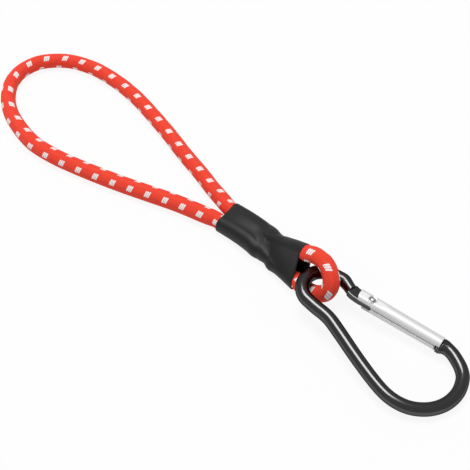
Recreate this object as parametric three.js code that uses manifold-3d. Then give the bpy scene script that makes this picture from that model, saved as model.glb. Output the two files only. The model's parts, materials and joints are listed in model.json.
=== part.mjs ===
// Elastic tie: a loop of braided shock cord closed by a heat-shrink sleeve, with a pear-shaped
// carabiner held in a small eye of the same cord. Millimetres, +Z up. The tie lies on z = 0 along X,
// the cord loop towards -X and the carabiner towards +X, with the origin under the middle of its box.
import * as THREE from "three";
import { mergeVertices } from "three/addons/utils/BufferGeometryUtils.js";
import ManifoldModule from "manifold-3d";

const wasm = await ManifoldModule();
wasm.setup();

const { degToRad, lerp } = THREE.MathUtils;

// Shock cord: a braided cover round one middle strand and a ring of outer strands.
const cordDiameter = 5.2;
const coverWall = 0.5;
const strandGap = 0.12;
const outerStrands = 6;
const endGap = 0.3;

// Straight lead of the cord before its first bend, at the sleeve and at the eye.
const loopLead = 2.6;
const eyeLead = 1.3;

// The cord where the crimp presses it, inside the sleeve.
const pressedDiameter = 3.7;
const pressedCoverWall = 0.45;
const seatGap = 0.12;

// Crimp band and sleeve.
const crimpWall = 0.4;
const crimpLength = 8;
const crimpInset = 2;
const sleeveStart = 7.9;
const sleeveLength = 31.7;
const sleeveWall = 0.5;
const legGap = 0.6;
const waistSpread = 4.5;
const waistPinch = 0.2;
const mouthSpread = 9.2;
const mouthTwist = degToRad(70);
const tailPastCrimp = 4.5;
const eyeTailLength = 8.5;
const mouthInset = 1.0;

// Carabiner body: a bent rod, laid out in its own plane from the tip of the small bow.
const rodDiameter = 4.0;
const bowRadius = 6.3;
const bowAcross = 1.4;
const neckAlong = 13.5;
const bigEndRadius = 12.1;
const bigEndAlong = 41.7;
const bigEndAcross = -0.3;
const noseArcStart = degToRad(66);
const noseDrop = 0.33;
const tongueStart = 11.8;
const tongueThickness = 2.2;
const tongueEdgeInset = 0.2;
const noseThickness = 1.9;
const noseOverlap = 2.0;
const noseLead = 1.0;
const noseProud = 0.25;
const noseEdgeInset = 0.15;
const apexAhead = 5.0;
const apexAcross = -5.5;
const apexHeight = 8.0;

// Gate: a rolled tube on a rivet, with a sprung plunger that rides on the tongue's cam.
const hingeAlong = 19.3;
const hingeAcross = 7.5;
const gateDiameter = 5.0;
const gateBore = 3.5;
const gateReach = 22.6;
const gateHeel = 2.9;
const gateSeam = 0.5;
const forkGap = 0.25;
const noseGap = 0.3;
const rivetDiameter = 1.9;
const rivetFit = 0.1;
const rivetHeadDiameter = 2.9;
const rivetHeadHeight = 0.35;
const rivetCrownDiameter = 1.75;
const camRadius = 1.6;
const camUnderside = 2.25;
const camRunOn = 1.1;
const gateOpening = degToRad(36);
const plungerStroke = 1.2;
const plungerTipGap = 0.5;
const plungerTipDiameter = 0.7;
const plungerTipLength = 0.85;
const plungerHeadLength = 2.5;
const plungerStemDiameter = 1.3;
const plungerStemLength = 1.5;
const plungerFit = 0.15;
const springWire = 0.5;
const springDiameter = 2.5;
const springTurns = 8;
const springSeat = 15;
const seatThickness = 1.5;

// Facets.
const cordSides = 12;
const strandSides = 5;
const rodSides = 12;
const tubeSides = 16;
const loopSteps = 36;
const eyeSteps = 18;
const legSteps = 8;
const rodSteps = 58;
const bigEndSteps = 16;
const bowSteps = 14;
const camSteps = 8;
const heelSteps = 5;
const curlSteps = 8;
const arcSegments = 6;
const weld = 1e-4;
const cordFlat = Math.cos(Math.PI / cordSides);
const arcFlat = Math.cos(Math.PI / (2 * arcSegments));

const red = { color: 0xe8432f, roughness: 0.85, metalness: 0 };
const latex = { color: 0xd8c8a4, roughness: 0.7, metalness: 0 };
const shrinkBlack = { color: 0x303032, roughness: 0.6, metalness: 0 };
const anodisedBlack = { color: 0x151517, roughness: 0.25, metalness: 0.6 };
const silver = { color: 0xd2d4d6, roughness: 0.3, metalness: 1 };
const steel = { color: 0xa9abad, roughness: 0.35, metalness: 1 };

function piece(name, geometry, finish) {
  const mesh = new THREE.Mesh(geometry, new THREE.MeshStandardMaterial(finish));
  mesh.name = name;
  return mesh;
}

// A closed geometry as a solid that can be cut and joined.
function solidOf(geometry) {
  const bare = new THREE.BufferGeometry();
  bare.setAttribute("position", geometry.getAttribute("position"));
  bare.setIndex(geometry.index);
  const merged = mergeVertices(bare, weld);
  const vertProperties = merged.getAttribute("position").array;
  const triVerts = new Uint32Array(merged.index.array);
  return new wasm.Manifold(new wasm.Mesh({ numProp: 3, vertProperties, triVerts }));
}

function geometryOf(solid) {
  const { vertProperties, triVerts } = solid.getMesh();
  const geometry = new THREE.BufferGeometry();
  geometry.setAttribute("position", new THREE.BufferAttribute(vertProperties, 3));
  geometry.setIndex(new THREE.BufferAttribute(triVerts, 1));
  return geometry;
}

function block(low, high) {
  const size = high.map((value, axis) => value - low[axis]);
  const middle = high.map((value, axis) => (value + low[axis]) / 2);
  return solidOf(new THREE.BoxGeometry(...size).translate(...middle));
}

// Corners of a regular polygon whose flat sides face the section's own axes.
function polygon(sides, radius, centre = new THREE.Vector2()) {
  return Array.from({ length: sides }, (_, side) => {
    const angle = ((side + 0.5) / sides) * 2 * Math.PI;
    return new THREE.Vector2(Math.cos(angle), Math.sin(angle)).multiplyScalar(radius).add(centre);
  });
}

function along(path, steps, outline, hole) {
  const shape = new THREE.Shape(outline);
  if (hole) shape.holes.push(new THREE.Path(hole));
  return new THREE.ExtrudeGeometry(shape, { extrudePath: path, steps, bevelEnabled: false });
}

// A braided cover: a tube, measured across its flats, with an open bore for the core.
function coverGeometry(path, steps, diameter, wall) {
  const outline = polygon(cordSides, diameter / 2 / cordFlat);
  const bore = polygon(cordSides, (diameter / 2 - wall) / cordFlat);
  return along(path, steps, outline, bore);
}

// One stretch of cord with its cover and its seven core strands.
function strandedCord(name, path, steps) {
  const stretch = new THREE.Group();
  stretch.add(piece(`${name}_cover`, coverGeometry(path, steps, cordDiameter, coverWall), red));
  const coreRadius = cordDiameter / 2 - coverWall - strandGap;
  const strandRadius = (coreRadius - strandGap) / 3;
  const ringRadius = 2 * strandRadius + strandGap;
  for (let strand = 0; strand <= outerStrands; strand += 1) {
    const angle = (strand / outerStrands) * 2 * Math.PI;
    const centre = new THREE.Vector2(Math.cos(angle), Math.sin(angle)).multiplyScalar(ringRadius);
    if (strand === 0) centre.set(0, 0);
    const outline = polygon(strandSides, strandRadius, centre);
    stretch.add(piece(`${name}_strand_${strand + 1}`, along(path, steps, outline), latex));
  }
  return stretch;
}

// One stretch of cord inside the sleeve, whose strands are pressed into one core.
function pressedCord(name, path) {
  const stretch = new THREE.Group();
  const cover = coverGeometry(path, legSteps, pressedDiameter, pressedCoverWall);
  const coreRadius = pressedDiameter / 2 - pressedCoverWall - strandGap;
  const core = along(path, legSteps, polygon(cordSides, coreRadius));
  stretch.add(piece(`${name}_cover`, cover, red), piece(`${name}_core`, core, latex));
  return stretch;
}

// Radii from the pressed cord outwards: crimp, then sleeve.
const crimpInner = (pressedDiameter / 2 / cordFlat + seatGap) / arcFlat;
const crimpOuter = crimpInner + crimpWall;
const sleeveInner = crimpOuter + seatGap / arcFlat;
const sleeveOuter = sleeveInner + sleeveWall;
const loopSpread = cordDiameter + legGap;
const sleeveEnd = sleeveStart + sleeveLength;

// Sections of the sleeve from the loop to the mouth: share of its length, place across, distance
// between the two legs of cord, how far the skin is drawn in, and the turn of the legs.
const intoWaist = lerp(loopSpread, waistSpread, 0.46);
const pastWaist = lerp(waistSpread, mouthSpread, 0.21);
const nearMouth = lerp(waistSpread, mouthSpread, 0.57);
const sleeveSections = [
  [0.0, 0.0, loopSpread, 0, 0],
  [0.17, -0.25, loopSpread, 0, 0],
  [0.34, -0.5, loopSpread, 0, 0],
  [0.42, -0.62, loopSpread, 0, 0],
  [0.53, -0.9, intoWaist, waistPinch / 2, 0.22 * mouthTwist],
  [0.64, -1.2, waistSpread, waistPinch, 0.5 * mouthTwist],
  [0.74, -1.5, pastWaist, waistPinch / 2, 0.72 * mouthTwist],
  [0.85, -1.8, nearMouth, 0, 0.88 * mouthTwist],
  [1.0, -2.2, mouthSpread, 0, mouthTwist],
].map(([share, across, spread, pinch, twist]) => {
  const radius = sleeveOuter - pinch;
  const legs = new THREE.Vector3(0, Math.cos(twist), Math.sin(twist)).multiplyScalar(spread / 2);
  const centre = new THREE.Vector3(sleeveStart + share * sleeveLength, across, radius + legs.z);
  return { centre, legs, radius };
});

// One ring of points round both legs: two half circles and the straight runs between them.
function legRing({ centre, legs }, radius) {
  const outward = Math.atan2(legs.z, legs.y);
  return [1, -1].flatMap((side) =>
    Array.from({ length: arcSegments + 1 }, (_, step) => {
      const angle = outward + (side < 0 ? Math.PI : 0) + (step / arcSegments - 0.5) * Math.PI;
      const offset = new THREE.Vector3(0, Math.cos(angle), Math.sin(angle)).multiplyScalar(radius);
      return centre.clone().addScaledVector(legs, side).add(offset);
    }),
  );
}

// A skin over rings that runs out along the outside, back along the inside, and closes on itself.
function hollowLoft(outerRings, innerRings) {
  const rings = [...outerRings, ...innerRings.reverse()];
  const count = rings[0].length;
  const triangles = rings.flatMap((_, row) =>
    rings[row].flatMap((__, column) => {
      const next = (column + 1) % count;
      const here = row * count;
      const there = ((row + 1) % rings.length) * count;
      return [here + column, here + next, there + next, here + column, there + next, there + column];
    }),
  );
  const geometry = new THREE.BufferGeometry().setFromPoints(rings.flat());
  geometry.setIndex(triangles);
  return geometry;
}

function sleeve() {
  const outer = sleeveSections.map((section) => legRing(section, section.radius));
  const inner = sleeveSections.map((section) => legRing(section, section.radius - sleeveWall));
  return piece("heat_shrink_sleeve", hollowLoft(outer, inner), shrinkBlack);
}

// The crimp follows the straight part of the sleeve, between its first and third sections.
function crimpBand() {
  const [first, , third] = sleeveSections;
  const run = third.centre.x - first.centre.x;
  const sections = [crimpInset, crimpInset + crimpLength].map((inset) => ({
    centre: first.centre.clone().lerp(third.centre, inset / run),
    legs: first.legs,
  }));
  const outer = sections.map((section) => legRing(section, crimpOuter));
  const inner = sections.map((section) => legRing(section, crimpInner));
  return piece("crimp_band", hollowLoft(outer, inner), steel);
}

// The middle line of one leg of cord through the sleeve, between two places along it.
function legPath(side, from, to) {
  const places = sleeveSections.map(({ centre, legs }) => centre.clone().addScaledVector(legs, side));
  const whole = new THREE.CatmullRomCurve3(places);
  const inside = whole.getPoints(legSteps * legSteps).filter(({ x }) => x > from && x < to);
  const knots = inside.filter((_, index) => index % legSteps === 0);
  return new THREE.CatmullRomCurve3([...knots, inside.at(-1)]);
}

function cordInSleeve() {
  const legs = new THREE.Group();
  const frontEnd = sleeveStart + crimpInset + crimpLength + tailPastCrimp;
  const mouth = sleeveEnd - mouthInset;
  legs.add(pressedCord("rear_leg", legPath(1, sleeveStart, mouth)));
  legs.add(pressedCord("front_tail", legPath(-1, sleeveStart, frontEnd)));
  legs.add(pressedCord("eye_tail", legPath(-1, mouth - eyeTailLength, mouth)));
  return legs;
}

// The big loop lies on the ground and lifts a little where its legs enter the sleeve.
const groundHeight = cordDiameter / 2;
const loopRoute = [
  [1.0, 4.0, 0.2],
  [-4.4, 5.6, 0.06],
  [-12.0, 7.8, 0],
  [-22.8, 10.8, 0],
  [-34.0, 14.0, 0],
  [-45.6, 17.0, 0],
  [-57.4, 19.5, 0],
  [-69.5, 20.6, 0],
  [-80.9, 19.6, 0],
  [-90.4, 15.6, 0],
  [-96.3, 8.6, 0],
  [-97.5, 3.4, 0],
  [-96.8, -2.0, 0],
  [-93.8, -7.6, 0],
  [-88.8, -12.6, 0],
  [-82.8, -16.1, 0],
  [-76.0, -18.4, 0],
  [-64.2, -20.6, 0],
  [-53.4, -20.0, 0],
  [-43.7, -17.9, 0],
  [-34.5, -15.4, 0],
  [-25.7, -12.7, 0],
  [-17.2, -9.8, 0],
  [-9.0, -7.0, 0],
  [-3.6, -5.3, 0.06],
  [1.0, -4.0, 0.2],
].map(([x, y, lift]) => new THREE.Vector3(x, y, groundHeight + lift));

function loopPath() {
  const { centre, legs } = sleeveSections[0];
  const straight = [endGap, endGap + loopLead].map((back) => centre.clone().setX(centre.x - back));
  const rearLeg = straight.map((place) => place.clone().add(legs));
  const frontLeg = straight.map((place) => place.clone().sub(legs)).reverse();
  return new THREE.CatmullRomCurve3([...rearLeg, ...loopRoute, ...frontLeg]);
}

// The eye leaves the mouth as the upper leg, goes round the carabiner's bow and comes back below it.
// Its points are given along the eye and upwards in the eye's own leaning plane.
const eyeDrift = -0.0066;
const eyeRise = 0.006;
const eyeRoute = [
  [3.2, 5.25],
  [5.0, 5.65],
  [7.0, 5.7],
  [9.0, 5.1],
  [10.7, 3.9],
  [11.8, 2.2],
  [12.2, 0.2],
  [11.8, -1.9],
  [10.7, -3.5],
  [9.0, -4.6],
  [7.0, -5.05],
  [5.0, -5.05],
  [3.2, -4.85],
];

function eyePath() {
  const { centre, legs } = sleeveSections.at(-1);
  const up = legs.clone().normalize();
  const leg = mouthSpread / 2;
  const straight = endGap + eyeLead;
  const upperLeg = [[endGap, leg], [straight, leg]];
  const lowerLeg = [[straight, -leg], [endGap, -leg]];
  const points = [...upperLeg, ...eyeRoute, ...lowerLeg].map(([reach, height]) => {
    const bend = new THREE.Vector3(reach, eyeDrift * reach ** 2, eyeRise * reach ** 2);
    return bend.add(centre).addScaledVector(up, height);
  });
  return new THREE.CatmullRomCurve3(points);
}

// The gate's axis runs from the hinge rivet to the rod's nose.
const hinge = new THREE.Vector2(hingeAlong, hingeAcross);
const noseReach = gateReach + noseGap;
const bigEnd = new THREE.Vector2(bigEndAlong, bigEndAcross);
const bow = new THREE.Vector2(bowRadius, bowAcross);
const gateLine = noseLine();

function pointOnArc(centre, radius, angle) {
  return new THREE.Vector2(Math.cos(angle), Math.sin(angle)).multiplyScalar(radius).add(centre);
}

// The gate aims at the top of the big end, where the nose starts.
function noseLine() {
  const aim = pointOnArc(bigEnd, bigEndRadius, Math.PI / 2).sub(hinge);
  return Math.atan2(aim.y - noseDrop, aim.x);
}

function onGate(reach, across = 0) {
  return new THREE.Vector2(reach, across).rotateAround(new THREE.Vector2(), gateLine).add(hinge);
}

function arcPoints(centre, radius, from, to, count) {
  return Array.from({ length: count + 1 }, (_, step) =>
    pointOnArc(centre, radius, lerp(from, to, step / count)),
  );
}

// Middle line of the rod: nose, big end, straight spine, neck, small bow and the run to the tongue.
function rodPath() {
  const neck = new THREE.Vector2(neckAlong, bowAcross - bowRadius);
  const toBigEnd = bigEnd.clone().sub(neck);
  const spine = toBigEnd.angle() - Math.asin(bigEndRadius / toBigEnd.length());
  const bigEndStop = spine - Math.PI / 2;
  const spineFoot = pointOnArc(bigEnd, bigEndRadius, bigEndStop);
  const spineShares = [0.3, 0.6, 0.9];
  const neckShare = 0.35;
  const points = [
    onGate(noseReach),
    onGate(noseReach + noseLead),
    ...arcPoints(bigEnd, bigEndRadius, noseArcStart, bigEndStop, bigEndSteps),
    ...spineShares.map((share) => spineFoot.clone().lerp(neck, share)),
    neck.clone().lerp(bow.clone().setY(neck.y), neckShare),
    ...arcPoints(bow, bowRadius, -Math.PI / 2, (-3 * Math.PI) / 2, bowSteps),
    new THREE.Vector2(tongueStart, bowAcross + bowRadius),
  ];
  return new THREE.CatmullRomCurve3(points.map(({ x, y }) => new THREE.Vector3(x, y, 0)));
}

// A plate of the rod flattened about its middle plane, with an optional round hole.
function plate(outline, thickness, hole) {
  const shape = new THREE.Shape(outline);
  if (hole) shape.holes.push(new THREE.Path(hole));
  const geometry = new THREE.ExtrudeGeometry(shape, { depth: thickness, bevelEnabled: false });
  return solidOf(geometry.translate(0, 0, -thickness / 2));
}

// The tongue ends in a cam whose radius grows steadily over the gate's opening.
function tongue() {
  const shoulder = tongueStart - rodDiameter / 2;
  const rodLine = bowAcross + bowRadius;
  const edge = rodDiameter / 2 - tongueEdgeInset;
  const outer = arcPoints(new THREE.Vector2(), camRadius, Math.PI / 2, 0, heelSteps);
  const ramp = Array.from({ length: camSteps }, (_, step) => {
    const opened = ((step + 1) / camSteps) * camRunOn;
    return pointOnArc(new THREE.Vector2(), camRadius + opened * plungerStroke, -opened * gateOpening);
  });
  const under = new THREE.Vector2(0, -camUnderside);
  const step = -gateHeel - noseGap;
  const outline = [
    new THREE.Vector2(shoulder, rodLine + edge),
    onGate(step - noseGap, edge),
    onGate(step, camRadius),
    ...[...outer, ...ramp, under].map(({ x, y }) => onGate(x, y)),
    new THREE.Vector2(shoulder, rodLine - edge),
  ];
  const hole = polygon(tubeSides, rivetDiameter / 2 + rivetFit, hinge);
  return plate(outline, tongueThickness, hole);
}

// The flattened nose runs into the gate's end slot and stands a little proud on the inside.
function nose() {
  const back = noseReach + noseLead;
  const tip = gateReach - noseOverlap;
  const inner = -gateDiameter / 2 - noseProud;
  const outer = rodDiameter / 2 - noseEdgeInset;
  const corners = [onGate(back, inner / 2), onGate(tip, inner), onGate(tip, outer), onGate(back, outer)];
  return plate(corners, noseThickness);
}

function carabinerBody() {
  const rod = along(rodPath(), rodSteps, polygon(rodSides, rodDiameter / 2 / Math.cos(Math.PI / rodSides)));
  const body = solidOf(rod).add(tongue()).add(nose());
  return piece("carabiner_body", geometryOf(body), anodisedBlack);
}

// A turned piece whose axis is the gate's axis: pairs of place along the gate and radius.
function turned(profile, sides = tubeSides) {
  const points = profile.map(([place, radius]) => new THREE.Vector2(radius, place));
  return new THREE.LatheGeometry(points, sides).rotateZ(-Math.PI / 2);
}

function gateTube() {
  const radius = gateDiameter / 2;
  const bore = gateBore / 2;
  const tube = turned([
    [springSeat, 0],
    [springSeat, bore],
    [-gateHeel, bore],
    [-gateHeel, radius],
    [gateReach, radius],
    [gateReach, bore],
    [springSeat + seatThickness, bore],
    [springSeat + seatThickness, 0],
  ]);
  const past = gateDiameter;
  const forkHalf = tongueThickness / 2 + forkGap;
  const forkEnd = camRadius + plungerStroke + 2 * forkGap;
  const webInside = camRadius + forkGap;
  const fork = block([-gateHeel - past, -past, -forkHalf], [forkEnd, webInside, forkHalf]);
  const noseHalf = noseThickness / 2 + forkGap;
  const slotEnd = gateReach - noseOverlap - noseGap;
  const slot = block([slotEnd, -past, -noseHalf], [gateReach + past, past, noseHalf]);
  const seamSide = -bore + gateSeam / 2;
  const seam = block([-gateHeel - past, -past, -gateSeam / 2], [gateReach + past, seamSide, gateSeam / 2]);
  const rivetHole = plate(polygon(tubeSides, rivetDiameter / 2 + rivetFit), 2 * gateDiameter);
  const heelCorner = new THREE.Shape();
  heelCorner.moveTo(-past, -past);
  heelCorner.lineTo(0, -past);
  heelCorner.absarc(0, 0, gateHeel, -Math.PI / 2, -Math.PI, true);
  heelCorner.lineTo(-past, 0);
  const heelCut = plate(heelCorner.getPoints(arcSegments), 2 * gateDiameter);
  const made = solidOf(tube).subtract(fork).subtract(slot).subtract(seam).subtract(rivetHole);
  return piece("gate", geometryOf(made.subtract(heelCut)), silver);
}

function hingeRivet() {
  const top = gateDiameter / 2 + rivetFit;
  const head = rivetHeadDiameter / 2;
  const crown = rivetCrownDiameter / 2;
  const shank = rivetDiameter / 2;
  const geometry = turned([
    [-top - rivetHeadHeight, 0],
    [-top - rivetHeadHeight, crown],
    [-top, head],
    [-top, shank],
    [top, shank],
    [top, head],
    [top + rivetHeadHeight, crown],
    [top + rivetHeadHeight, 0],
  ]);
  return piece("hinge_rivet", geometry.rotateY(Math.PI / 2), steel);
}

const plungerTip = camRadius + plungerTipGap;
const plungerBack = plungerTip + plungerTipLength + plungerHeadLength;

function plunger() {
  const head = gateBore / 2 - plungerFit;
  const geometry = turned([
    [plungerTip, 0],
    [plungerTip, plungerTipDiameter / 2],
    [plungerTip + plungerTipLength, plungerTipDiameter / 2],
    [plungerTip + plungerTipLength, head],
    [plungerBack, head],
    [plungerBack, plungerStemDiameter / 2],
    [plungerBack + plungerStemLength, plungerStemDiameter / 2],
    [plungerBack + plungerStemLength, 0],
  ], cordSides);
  return piece("plunger", geometry, steel);
}

class Helix extends THREE.Curve {
  constructor(radius, from, to, turns) {
    super();
    Object.assign(this, { radius, from, to, turns });
  }

  getPoint(share, point = new THREE.Vector3()) {
    const angle = share * this.turns * 2 * Math.PI;
    const place = lerp(this.from, this.to, share);
    return point.set(place, this.radius * Math.cos(angle), this.radius * Math.sin(angle));
  }
}

// The spring sits between the plunger's head and the seat in the gate, one curl every turn.
function gateSpring() {
  const from = plungerBack + springWire / 2 + strandGap;
  const to = springSeat - springWire / 2 - strandGap;
  const coil = new Helix(springDiameter / 2, from, to, springTurns);
  const points = coil.getPoints(springTurns * curlSteps);
  const gaps = points.slice(curlSteps).map((point, index) => point.distanceTo(points[index]) - springWire);
  console.log(`gate_spring least gap to itself ${Math.min(...gaps).toFixed(2)} mm`);
  const geometry = along(coil, springTurns * curlSteps, polygon(strandSides, springWire / 2));
  return piece("gate_spring", geometry, steel);
}

function carabiner() {
  const whole = new THREE.Group();
  const farEnd = bigEndAlong + bigEndRadius;
  const farHeight = rodDiameter / 2 / Math.cos(Math.PI / rodSides);
  whole.position.set(sleeveEnd + apexAhead, apexAcross, apexHeight);
  whole.rotation.y = Math.asin((apexHeight - farHeight) / farEnd);
  const gate = new THREE.Group();
  gate.position.set(hingeAlong, hingeAcross, 0);
  gate.rotation.z = gateLine;
  gate.add(gateTube(), hingeRivet(), plunger(), gateSpring());
  whole.add(carabinerBody(), gate);
  return whole;
}

const tie = new THREE.Group();
tie.add(strandedCord("loop", loopPath(), loopSteps));
tie.add(sleeve(), crimpBand(), cordInSleeve());
tie.add(strandedCord("eye", eyePath(), eyeSteps));
tie.add(carabiner());

export default tie;
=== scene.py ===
# %% [markdown]
# # An elastic tie with a snap hook
# This lesson dresses a small household tie: a loop of braided shock cord, closed by a heat-shrink
# sleeve, with a pear-shaped carabiner held in a small eye of the same cord. The frame already holds
# solids with the true sizes, places and joints. Here each of them gets the surface that an eye expects.
# Every new piece is worked out as one numpy array: a function of two parameters, one along the piece
# and one round it. Modelling by hand would work too, but a formula stays exact when a size changes.

# %% Load the frame
import json

import bpy
import numpy as np
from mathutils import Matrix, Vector

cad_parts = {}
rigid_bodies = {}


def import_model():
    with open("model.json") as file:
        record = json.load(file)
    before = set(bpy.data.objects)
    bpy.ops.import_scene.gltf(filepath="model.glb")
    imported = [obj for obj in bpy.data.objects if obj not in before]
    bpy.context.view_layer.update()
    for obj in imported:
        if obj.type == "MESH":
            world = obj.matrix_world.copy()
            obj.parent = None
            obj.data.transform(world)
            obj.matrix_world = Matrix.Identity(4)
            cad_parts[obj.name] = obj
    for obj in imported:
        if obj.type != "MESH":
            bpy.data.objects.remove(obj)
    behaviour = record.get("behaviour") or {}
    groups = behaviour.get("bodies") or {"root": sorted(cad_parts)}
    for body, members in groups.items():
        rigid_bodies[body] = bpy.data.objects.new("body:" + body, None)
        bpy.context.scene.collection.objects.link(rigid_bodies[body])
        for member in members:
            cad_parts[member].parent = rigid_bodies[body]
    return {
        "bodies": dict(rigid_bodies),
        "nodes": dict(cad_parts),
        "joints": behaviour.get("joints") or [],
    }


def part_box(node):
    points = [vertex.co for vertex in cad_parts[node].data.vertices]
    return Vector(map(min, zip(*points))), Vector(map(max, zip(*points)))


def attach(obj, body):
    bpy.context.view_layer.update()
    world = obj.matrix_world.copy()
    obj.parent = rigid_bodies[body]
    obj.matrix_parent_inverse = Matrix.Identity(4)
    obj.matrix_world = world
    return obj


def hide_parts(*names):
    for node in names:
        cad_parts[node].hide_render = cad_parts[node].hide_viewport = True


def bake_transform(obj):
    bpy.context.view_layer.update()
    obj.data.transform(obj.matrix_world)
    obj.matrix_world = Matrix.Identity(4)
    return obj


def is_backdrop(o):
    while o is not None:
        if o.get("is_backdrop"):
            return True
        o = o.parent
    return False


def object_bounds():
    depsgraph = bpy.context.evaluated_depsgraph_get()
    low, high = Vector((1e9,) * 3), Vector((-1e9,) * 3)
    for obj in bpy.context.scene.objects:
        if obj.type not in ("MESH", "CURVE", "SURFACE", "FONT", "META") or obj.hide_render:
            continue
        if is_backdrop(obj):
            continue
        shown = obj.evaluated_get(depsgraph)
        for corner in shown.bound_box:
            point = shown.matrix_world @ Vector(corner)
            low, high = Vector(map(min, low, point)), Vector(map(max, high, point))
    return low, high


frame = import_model()
cad_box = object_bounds()
MM = 0.001
joints = {joint["name"]: joint for joint in frame["joints"]}
print(f"frame: {len(frame['nodes'])} nodes on {len(frame['bodies'])} bodies, joints {sorted(joints)}")

# %% [markdown]
# ## Camera
# The photograph looks down on the tie across its length, from the hook's side, with a longish lens.
# A camera could be turned by hand until it looks right. Here its place and its target are two points,
# and the lens follows from a focal length in pixels of the square picture.

# %% Camera
IMAGE_SIZE = 470
FOCAL_LENGTH_PIXELS = 1000
SENSOR_WIDTH = 36
CAMERA_PLACE = Vector((162.0, -154.8, 228.9)) * MM
CAMERA_TARGET = Vector((13.1, -1.9, 0.0)) * MM

camera_data = bpy.data.cameras.new("photo_camera")
camera_data.sensor_width = SENSOR_WIDTH
camera_data.lens = SENSOR_WIDTH * FOCAL_LENGTH_PIXELS / IMAGE_SIZE
camera = bpy.data.objects.new("photo_camera", camera_data)
camera.location = CAMERA_PLACE
camera.rotation_euler = (CAMERA_TARGET - CAMERA_PLACE).to_track_quat("-Z", "Y").to_euler()
bpy.context.scene.collection.objects.link(camera)
bpy.context.scene.camera = camera
view_distance = (CAMERA_TARGET - CAMERA_PLACE).length
print(f"camera: {camera_data.lens:.1f} mm lens, {view_distance:.3f} m from its target")

# %% [markdown]
# ## Curves and grids
# Four helpers carry the whole lesson. One draws a smooth curve through a few chosen points, one gives
# each place on a curve its own axes, one eases between the sizes of a few sections, and one turns a
# grid of points into a mesh. Blender's own curves could do the first two, but arrays let a relief or a
# colour follow the curve afterwards.

# %% Curve and grid helpers
SPLINE_STEPS = 40


def unit(vectors):
    """Each vector divided by its own length."""
    return vectors / np.linalg.norm(vectors, axis=-1, keepdims=True)


def spline(points, step):
    """Evenly spaced points on a centripetal Catmull-Rom curve, and their distance along it.

    Between two chosen points the curve is a cubic. Its slope at each end comes from the neighbours,
    weighted by the square roots of the gaps, so that close points make no loops.
    """
    points = np.asarray(points, float)
    points = np.vstack([2 * points[0] - points[1], points, 2 * points[-1] - points[-2]])
    gaps = np.sqrt(np.linalg.norm(np.diff(points, axis=0), axis=1))[:, None]
    before, here, after = gaps[:-2], gaps[1:-1], gaps[2:]
    p0, p1, p2, p3 = points[:-3], points[1:-2], points[2:-1], points[3:]
    leave = here * ((p1 - p0) / before - (p2 - p0) / (before + here) + (p2 - p1) / here)
    arrive = here * ((p2 - p1) / here - (p3 - p1) / (here + after) + (p3 - p2) / after)
    part = np.linspace(0, 1, SPLINE_STEPS, endpoint=False)[None, :, None]
    p1, p2, leave, arrive = (values[:, None] for values in (p1, p2, leave, arrive))
    bend = 3 * (p2 - p1) - 2 * leave - arrive + part * (leave + arrive - 2 * (p2 - p1))
    dense = np.vstack([(p1 + part * (leave + part * bend)).reshape(-1, points.shape[1]), points[-2]])
    reach = np.concatenate([[0], np.cumsum(np.linalg.norm(np.diff(dense, axis=0), axis=1))])
    along = np.linspace(0, reach[-1], int(round(reach[-1] / step)) + 1)
    return columns_at(along, reach, dense), along


def columns_at(places, knots, values):
    """Straight-line interpolation of every column of values at the given places."""
    return np.stack([np.interp(places, knots, column) for column in values.T], -1)


def axes_along(line, upward):
    """Sideways and upward unit vectors at each point of a line.

    Sideways is square to the line and to the upward direction, and up is square to both.
    """
    tangent = unit(np.gradient(line, axis=0))
    side = unit(np.cross(upward, tangent))
    return side, np.cross(tangent, side)


def eased(places, knots, values):
    """A smooth curve through values at knots: cubics that share their slope where they meet."""
    knots, values = np.asarray(knots, float), np.asarray(values, float)
    slopes = np.gradient(values, knots)
    index = np.clip(np.searchsorted(knots, places, side="right") - 1, 0, len(knots) - 2)
    width = knots[index + 1] - knots[index]
    part = np.clip((places - knots[index]) / width, 0, 1)
    rise = part * part * (3 - 2 * part)
    bow = part * (1 - part) * width
    ends = slopes[index] * (1 - part) - slopes[index + 1] * part
    return values[index] + rise * (values[index + 1] - values[index]) + bow * ends


def smoothstep(low, high, value):
    """0 below low, 1 above high, and an even S between them."""
    part = np.clip((value - low) / (high - low), 0, 1)
    return part * part * (3 - 2 * part)


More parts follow.
